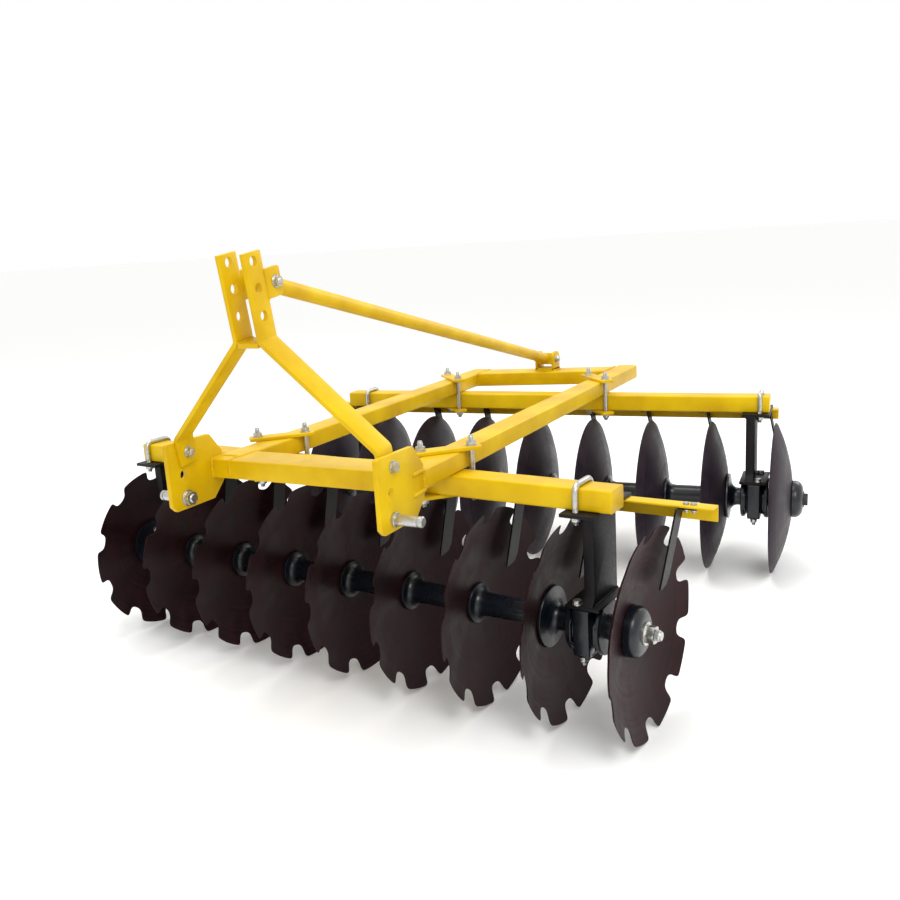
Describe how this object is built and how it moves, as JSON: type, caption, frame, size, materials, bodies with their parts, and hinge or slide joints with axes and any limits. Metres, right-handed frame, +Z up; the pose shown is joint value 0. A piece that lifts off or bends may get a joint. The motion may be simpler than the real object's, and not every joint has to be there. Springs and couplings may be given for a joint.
{
  "type": "offset disc harrow",
  "caption": "Mounted offset disc harrow: two angled gangs of concave discs under a welded frame with a three-point mast and rear brace.",
  "frame": {"origin": "centre of the bounding box, on the ground the discs stand on", "axes": "+X to the harrow's right, +Y to its rear, away from the tractor, +Z up"},
  "size_m": [2.1546, 2.097, 1.2949],
  "materials": {
    "yellow_paint": "satin enamel",
    "black_paint": "gloss enamel on castings",
    "notched_disc_paint": "satin lacquer",
    "plain_disc_paint": "satin lacquer",
    "zinc": "zinc plate"
  },
  "bodies": {
    "frame": {"front_bearing_arm_1": "black_paint", "front_bearing_arm_2": "black_paint", "rear_bearing_arm_1": "black_paint", "rear_bearing_arm_2": "black_paint", "front_gang_beam": "yellow_paint", "rear_gang_beam": "yellow_paint", "front_scraper_bar": "yellow_paint", "rear_scraper_bar": "yellow_paint", "left_side_beam": "yellow_paint", "right_side_beam": "yellow_paint", "front_cross_beam": "yellow_paint", "rear_cross_beam": "yellow_paint", "front_left_clamp": "yellow_paint", "front_right_clamp": "yellow_paint", "rear_left_clamp": "yellow_paint", "rear_right_clamp": "yellow_paint", "left_hitch_plate": "yellow_paint", "right_hitch_plate": "yellow_paint", "left_mast_bar": "yellow_paint", "right_mast_bar": "yellow_paint", "mast_base_bar": "yellow_paint", "rear_brace": "yellow_paint", "brace_bracket": "yellow_paint", "front_u_bolt_1": "zinc", "front_u_bolt_2": "zinc", "rear_u_bolt_1": "zinc", "rear_u_bolt_2": "zinc", "left_lower_pin": "zinc", "right_lower_pin": "zinc", "left_mast_foot_bolt": "zinc", "right_mast_foot_bolt": "zinc", "brace_front_pin": "zinc", "brace_rear_pin": "zinc"},
    "front_gang": {"front_gang_shaft": "black_paint", "front_disc_1": "notched_disc_paint", "front_disc_2": "notched_disc_paint", "front_disc_3": "notched_disc_paint", "front_disc_4": "notched_disc_paint", "front_disc_5": "notched_disc_paint", "front_disc_6": "notched_disc_paint", "front_disc_7": "notched_disc_paint", "front_disc_8": "notched_disc_paint", "front_disc_9": "notched_disc_paint"},
    "rear_gang": {"rear_gang_shaft": "black_paint", "rear_disc_1": "plain_disc_paint", "rear_disc_2": "plain_disc_paint", "rear_disc_3": "plain_disc_paint", "rear_disc_4": "plain_disc_paint", "rear_disc_5": "plain_disc_paint", "rear_disc_6": "plain_disc_paint", "rear_disc_7": "plain_disc_paint", "rear_disc_8": "plain_disc_paint", "rear_disc_9": "plain_disc_paint"}
  },
  "joints": [
    {"name": "front_gang_spin", "type": "hinge", "parent": "frame", "child": "front_gang", "pos_m": [-0.10395, -0.55446, 0.28], "axis": [0.997, -0.0774, 0], "continuous": true},
    {"name": "rear_gang_spin", "type": "hinge", "parent": "frame", "child": "rear_gang", "pos_m": [0.10505, 0.60654, 0.28], "axis": [0.9954, 0.0958, 0], "continuous": true}
  ]
}
